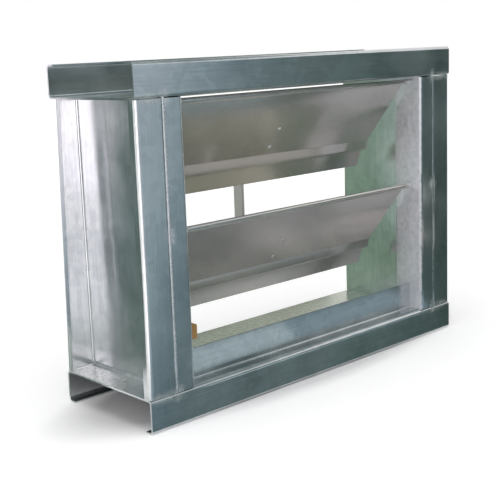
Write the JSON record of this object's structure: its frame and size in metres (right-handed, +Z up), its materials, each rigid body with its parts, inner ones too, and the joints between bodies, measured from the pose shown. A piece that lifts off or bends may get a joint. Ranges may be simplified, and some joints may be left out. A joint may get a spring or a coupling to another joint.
{
  "type": "duct backdraft damper",
  "caption": "Flanged galvanised channel frame with swinging gravity blades joined by an upright tie bar, letting duct air pass one way and closing against backflow.",
  "frame": {"origin": "under the middle of the frame, on the plane of the sill's lips", "axes": "+X across the duct to the right seen from the upstream side, +Y along the airflow to the back, +Z up"},
  "size_m": [0.52, 0.152, 0.38],
  "materials": {
    "galvanised_steel": "zinc-coated, faintly spangled satin",
    "blade_aluminium": "mill finish, half gloss",
    "zinc_plated_steel": "zinc plated, satin",
    "rivet_aluminium": "plain",
    "bush_nylon": "moulded",
    "buffer_rubber": "matt gum rubber"
  },
  "bodies": {
    "frame": {"head_channel": "galvanised_steel", "sill_channel": "galvanised_steel", "left_jamb_channel": "galvanised_steel", "right_jamb_channel": "galvanised_steel", "left_jamb_stop": "galvanised_steel", "right_jamb_stop": "galvanised_steel", "sill_stop": "galvanised_steel", "closing_buffer": "buffer_rubber", "upper_left_bush": "bush_nylon", "upper_right_bush": "bush_nylon", "lower_left_bush": "bush_nylon", "lower_right_bush": "bush_nylon"},
    "upper_blade_set": {"upper_blade": "blade_aluminium", "upper_pivot_rod": "zinc_plated_steel", "upper_bracket": "zinc_plated_steel", "upper_bracket_rivets": "rivet_aluminium", "upper_link_pin": "zinc_plated_steel", "upper_link_washer": "zinc_plated_steel"},
    "lower_blade_set": {"lower_blade": "blade_aluminium", "lower_pivot_rod": "zinc_plated_steel", "lower_bracket": "zinc_plated_steel", "lower_bracket_rivets": "rivet_aluminium", "lower_link_pin": "zinc_plated_steel", "lower_link_washer": "zinc_plated_steel"},
    "tie_bar_set": {"tie_bar": "zinc_plated_steel"}
  },
  "joints": [
    {"name": "upper_blade_hinge", "type": "hinge", "parent": "frame", "child": "upper_blade_set", "pos_m": [0, -0.06, 0.3377], "axis": [1, 0, 0], "range_deg": [-33.5, 12]},
    {"name": "lower_blade_hinge", "type": "hinge", "parent": "frame", "child": "lower_blade_set", "pos_m": [0, -0.06, 0.20335], "axis": [1, 0, 0], "range_deg": [-33.5, 12]},
    {"name": "tie_bar_link", "type": "hinge", "parent": "upper_blade_set", "child": "tie_bar_set", "pos_m": [-0.02015, 0.03648, 0.25401], "axis": [1, 0, 0], "range_deg": [-12, 33.5]}
  ],
  "couplings": [
    {"joint": "lower_blade_hinge", "follows": "upper_blade_hinge", "ratio": 1},
    {"joint": "tie_bar_link", "follows": "upper_blade_hinge", "ratio": -1}
  ]
}
